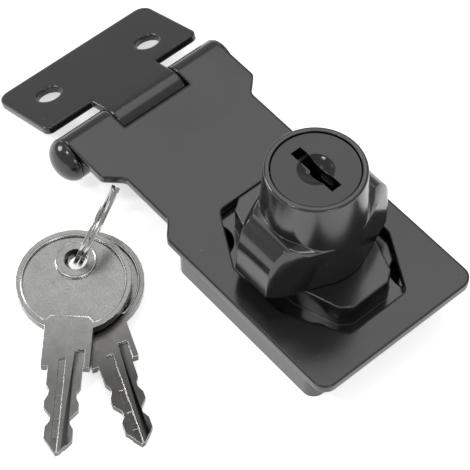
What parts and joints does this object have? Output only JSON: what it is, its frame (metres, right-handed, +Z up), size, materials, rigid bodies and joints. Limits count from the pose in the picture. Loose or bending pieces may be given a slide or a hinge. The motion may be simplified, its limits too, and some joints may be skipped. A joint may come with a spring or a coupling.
{
  "type": "display case lock",
  "caption": "Hinged hasp lock for a display case: a slotted strap closed over a rectangular base, held by a turning winged knob with a keyed wafer plug; keys on a split ring beside it.",
  "frame": {"origin": "middle of the base housing's underside, on the knob's axis", "axes": "+X along the strap towards its free end, the hinge towards -X; +Z up along the knob's axis"},
  "size_m": [0.1093, 0.0909, 0.0409],
  "materials": {
    "die_cast": "satin black",
    "coated_sheet": "satin black",
    "bright_steel": "turned",
    "dark_chrome": "dark polished",
    "brass": "stamped",
    "nickel": "satin nickel"
  },
  "bodies": {
    "lock_base": {"base_housing": "die_cast", "hasp_strap": "coated_sheet", "hinge_pin": "coated_sheet", "thrust_washer": "bright_steel", "wave_washer": "bright_steel", "spindle_pin_left": "bright_steel", "spindle_pin_right": "bright_steel", "key_front": "nickel", "key_rear": "nickel", "key_ring": "nickel"},
    "leaf": {"hinge_leaf": "coated_sheet"},
    "knob": {"knob_body": "die_cast", "plug_pin": "bright_steel"},
    "plug": {"lock_plug": "dark_chrome"},
    "bolt": {"locking_bolt": "bright_steel"},
    "wafer_1": {"wafer_1": "brass"},
    "wafer_2": {"wafer_2": "brass"},
    "wafer_3": {"wafer_3": "brass"},
    "wafer_4": {"wafer_4": "brass"},
    "wafer_5": {"wafer_5": "brass"}
  },
  "joints": [
    {"name": "leaf_swing", "type": "hinge", "parent": "lock_base", "child": "leaf", "pos_m": [-0.0546, 0, 0.0074], "axis": [0, 1, 0], "range_deg": [-150, 90]},
    {"name": "knob_turn", "type": "hinge", "parent": "lock_base", "child": "knob", "pos_m": [0, 0, 0.0167], "axis": [0, 0, 1], "range_deg": [0, 90]},
    {"name": "plug_turn", "type": "hinge", "parent": "knob", "child": "plug", "pos_m": [0, 0, 0.0407], "axis": [0, 0, 1], "range_deg": [0, 90]},
    {"name": "bolt_slide", "type": "slide", "parent": "knob", "child": "bolt", "axis": [1, 0, 0], "range_m": [0, 0.00184]},
    {"name": "wafer_1_slide", "type": "slide", "parent": "plug", "child": "wafer_1", "axis": [1, 0, 0], "range_m": [0, 0.001]},
    {"name": "wafer_2_slide", "type": "slide", "parent": "plug", "child": "wafer_2", "axis": [1, 0, 0], "range_m": [0, 0.0007]},
    {"name": "wafer_3_slide", "type": "slide", "parent": "plug", "child": "wafer_3", "axis": [1, 0, 0], "range_m": [0, 0.0009]},
    {"name": "wafer_4_slide", "type": "slide", "parent": "plug", "child": "wafer_4", "axis": [1, 0, 0], "range_m": [0, 0.0006]},
    {"name": "wafer_5_slide", "type": "slide", "parent": "plug", "child": "wafer_5", "axis": [1, 0, 0], "range_m": [0, 0.0008]}
  ],
  "couplings": [
    {"joint": "bolt_slide", "follows": "plug_turn", "m_per_rad": 0.0011704},
    {"joint": "wafer_2_slide", "follows": "wafer_1_slide", "ratio": 0.7},
    {"joint": "wafer_3_slide", "follows": "wafer_1_slide", "ratio": 0.9},
    {"joint": "wafer_4_slide", "follows": "wafer_1_slide", "ratio": 0.6},
    {"joint": "wafer_5_slide", "follows": "wafer_1_slide", "ratio": 0.8}
  ]
}
